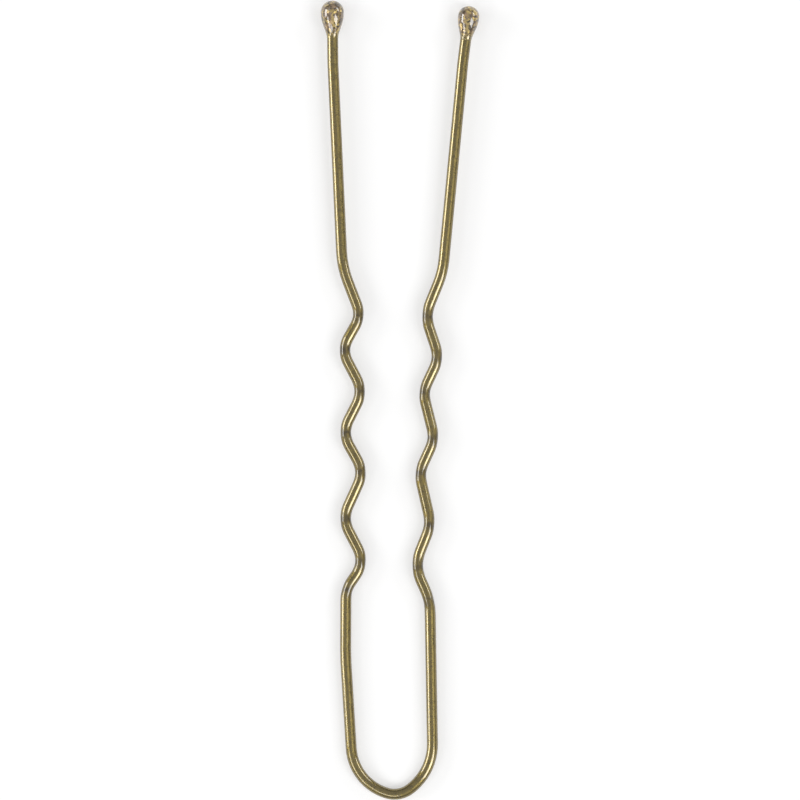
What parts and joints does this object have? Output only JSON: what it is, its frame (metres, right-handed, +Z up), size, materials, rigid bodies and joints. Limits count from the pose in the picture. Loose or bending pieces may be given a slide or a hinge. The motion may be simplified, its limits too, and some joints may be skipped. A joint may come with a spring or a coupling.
{
  "type": "hairpin",
  "caption": "Open U-shaped wire hairpin with crimped legs that spring at the bow and a rounded resin drop on each end.",
  "frame": {"origin": "middle of the rectangle that the pin covers, on the surface that it lies on", "axes": "+X to the right across the legs, +Y along the pin from its bow towards its drops, +Z up from the surface"},
  "size_m": [0.0128, 0.065, 0.0019],
  "materials": {
    "gold_wire": "glossy gold-toned lacquer over drawn steel wire, with fine lengthwise draw lines and darker tool marks at the crimps",
    "tip_resin": "glossy gold-brown dipped resin with fine metallic flakes"
  },
  "bodies": {
    "bow": {"bow": "gold_wire"},
    "left_leg": {"left_leg": "gold_wire", "left_tip": "tip_resin"},
    "right_leg": {"right_leg": "gold_wire", "right_tip": "tip_resin"}
  },
  "joints": [
    {"name": "left_leg_flex", "type": "hinge", "parent": "bow", "child": "left_leg", "pos_m": [-0.00443, -0.0203, 0.00054], "axis": [0, 0.0078, -1], "range_deg": [-8, 4.5], "stiffness_Nm_per_rad": 0.2},
    {"name": "right_leg_flex", "type": "hinge", "parent": "bow", "child": "right_leg", "pos_m": [0.0025, -0.0203, 0.00054], "axis": [0, -0.0078, 1], "range_deg": [-8, 4.5], "stiffness_Nm_per_rad": 0.2}
  ]
}
